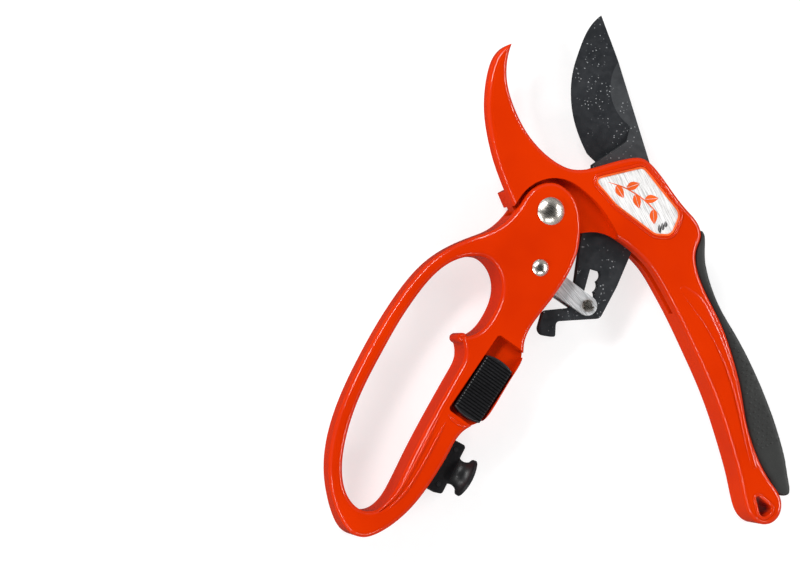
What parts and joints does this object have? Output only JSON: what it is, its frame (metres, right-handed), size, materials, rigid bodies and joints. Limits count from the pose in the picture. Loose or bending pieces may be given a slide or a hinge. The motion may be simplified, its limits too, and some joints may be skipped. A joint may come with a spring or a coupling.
{
  "type": "pruning shears",
  "caption": "Ratchet bypass pruning shears lying open: hooked jaw, curved blade, rubber grip, finger loop, link and sliding lock.",
  "frame": {"origin": "centre of the open shears' outline on the plane that their back lies on", "axes": "+Z out of the front face with the name plate and the lock, +Y toward the jaws, +X toward the rubber grip"},
  "size_m": [0.1848, 0.2, 0.0202],
  "materials": {
    "orange_coat": "gloss powder coat over cast aluminium",
    "dark_blade": "satin dark non-stick coating",
    "grip_rubber": "matte",
    "bumper_rubber": "matte",
    "black_plastic": "fine matte",
    "washer_plastic": "matte",
    "brushed_plate": "brushed",
    "nickel": "polished",
    "washer_steel": "satin",
    "link_steel": "satin",
    "clip_steel": "satin",
    "spring_steel": "satin"
  },
  "bodies": {
    "hook": {"hook_handle": "orange_coat", "grip_pad": "grip_rubber", "name_plate": "brushed_plate", "blade_pivot_pin": "nickel", "blade_washer_back": "washer_plastic", "blade_washer_front": "washer_plastic", "return_spring": "spring_steel"},
    "loop": {"loop_handle": "orange_coat", "main_pivot_rivet": "nickel", "link_pivot_rivet": "nickel", "pivot_washer_back": "washer_plastic", "pivot_washer_front": "washer_steel", "lock_cover": "black_plastic", "lock_detent_spring": "spring_steel", "bumper_carrier": "black_plastic", "bumper_pins": "nickel", "bumper_core": "black_plastic", "rubber_bumper": "bumper_rubber"},
    "blade": {"cutting_blade": "dark_blade"},
    "link": {"link_plate_front": "link_steel", "link_plate_back": "link_steel", "link_spacer": "washer_plastic", "ratchet_pin": "nickel", "ratchet_pin_clip": "clip_steel", "link_return_spring": "spring_steel"},
    "lock": {"lock_slider": "black_plastic", "lock_bolt": "washer_steel", "lock_slider_screw": "spring_steel"}
  },
  "joints": [
    {"name": "handle_pivot", "type": "hinge", "parent": "hook", "child": "loop", "pos_m": [-0.0068, 0.02287, 0.009], "axis": [0, 0, 1], "range_deg": [0, 54], "stiffness_Nm_per_rad": 0.8, "springref_deg": -22.92},
    {"name": "blade_pivot", "type": "hinge", "parent": "hook", "child": "blade", "pos_m": [0.02433, 0.02983, 0.009], "axis": [0, 0, 1], "range_deg": [0, 32.8]},
    {"name": "link_pivot", "type": "hinge", "parent": "loop", "child": "link", "pos_m": [-0.01098, 0.00122, 0.009], "axis": [0, 0, 1], "range_deg": [-40.6, 0]},
    {"name": "lock_slide", "type": "slide", "parent": "loop", "child": "lock", "axis": [0.5592, 0.829, 0], "range_m": [0, 0.0058]}
  ],
  "couplings": [
    {"joint": "blade_pivot", "follows": "handle_pivot", "ratio": 0.6056},
    {"joint": "link_pivot", "follows": "handle_pivot", "ratio": -0.75}
  ]
}
